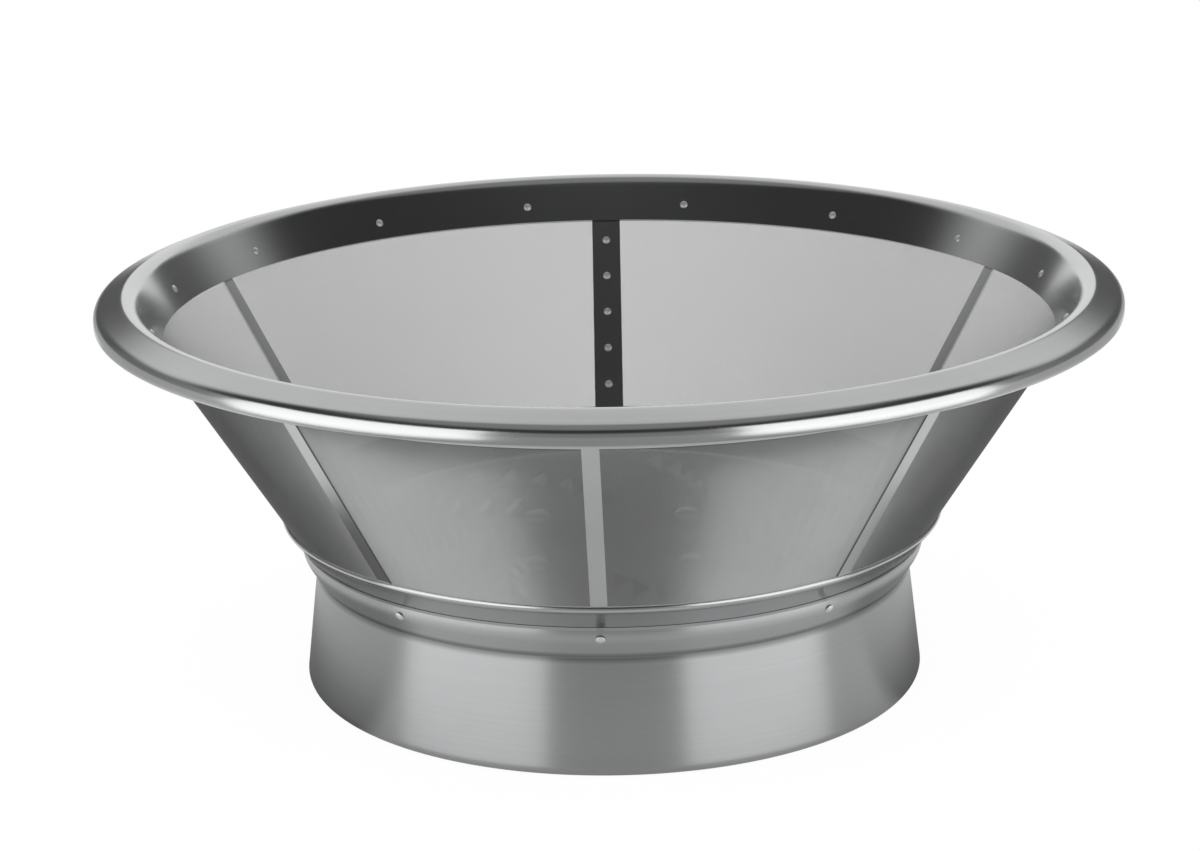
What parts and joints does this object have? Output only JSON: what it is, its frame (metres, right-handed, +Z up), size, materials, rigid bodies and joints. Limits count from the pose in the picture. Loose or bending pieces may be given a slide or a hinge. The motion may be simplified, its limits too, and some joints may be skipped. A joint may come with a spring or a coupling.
{
  "type": "juicer mesh screen",
  "caption": "Stainless steel juicer filter basket: a fine mesh cone between a rolled rim and a flared base, with a toothed grater disc and a drive hub underneath.",
  "frame": {"origin": "under the centre of the foot, on the surface the basket stands on", "axes": "+Z up along the axis of the basket, -Y towards the front, with the lapped seam of the screen at +Y"},
  "size_m": [0.18, 0.18, 0.0725],
  "materials": {
    "polished_steel": "polished",
    "etched_steel": "satin",
    "hub_plastic": "matte"
  },
  "bodies": {
    "root": {"rim_ring": "polished_steel", "mesh_screen": "etched_steel", "base_drum": "polished_steel", "grater_disc": "polished_steel", "drive_hub": "hub_plastic", "rivets": "polished_steel"}
  },
  "joints": []
}
